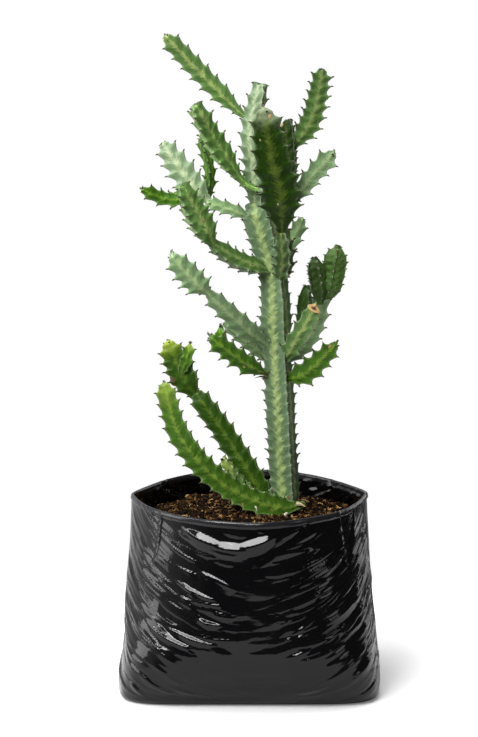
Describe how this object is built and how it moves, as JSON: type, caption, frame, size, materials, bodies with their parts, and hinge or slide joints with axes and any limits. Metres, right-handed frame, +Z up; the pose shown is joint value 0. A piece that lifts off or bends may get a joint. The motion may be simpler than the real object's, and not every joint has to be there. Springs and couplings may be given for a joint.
{
  "type": "potted euphorbia",
  "caption": "Potted succulent: an upright ribbed, spiny stem with jointed, toothed side stems, standing in soil in an open black film grow bag.",
  "frame": {"origin": "middle of the grow bag's flat base, on the surface it stands on", "axes": "+Z up along the plant, +X to the right and -Y towards the viewer of the front, the side that the tallest dark joint leans to"},
  "size_m": [0.2456, 0.2332, 0.6181],
  "materials": {
    "bag_film": "thin black polythene film, glossy and finely creased",
    "potting_soil": "loose dark brown crumbs with tan fibres",
    "skin_pale": "waxy, pale grey-green with a yellowish feathered band along each face",
    "skin_grey": "waxy, grey-green",
    "skin_green": "waxy, mid green with a yellowish band along each face",
    "skin_dark": "waxy, dark green",
    "skin_lime": "waxy, young yellow-green"
  },
  "bodies": {
    "root": {"grow_bag": "bag_film", "soil": "potting_soil", "stem_trunk": "skin_pale", "stem_crown": "skin_pale", "stem_top_left": "skin_green", "stem_upper_left": "skin_green", "stem_front_lower": "skin_green", "stem_front_upper": "skin_dark", "stem_front_side": "skin_green", "stem_back_lower": "skin_green", "stem_back_upper": "skin_green", "stem_back_stub": "skin_grey", "stem_left_high_inner": "skin_grey", "stem_left_high_outer": "skin_pale", "stem_left_high_shoot": "skin_dark", "stem_left_mid_inner": "skin_grey", "stem_left_mid_outer": "skin_green", "stem_left_mid_shoot": "skin_green", "stem_left_low_inner": "skin_grey", "stem_left_low_outer": "skin_green", "stem_left_back": "skin_grey", "stem_left_lowest": "skin_green", "stem_left_lowest_bud": "skin_lime", "stem_right_cut": "skin_green", "stem_right_back_inner": "skin_green", "stem_right_back_club_low": "skin_dark", "stem_right_back_club_high": "skin_dark", "stem_right_back_shoot": "skin_green", "stem_right_low": "skin_green", "stem_base_front": "skin_green", "stem_base_sprout": "skin_lime", "stem_base_back_lower": "skin_green", "stem_base_back_upper": "skin_green", "stem_base_back_bud": "skin_lime"}
  },
  "joints": []
}
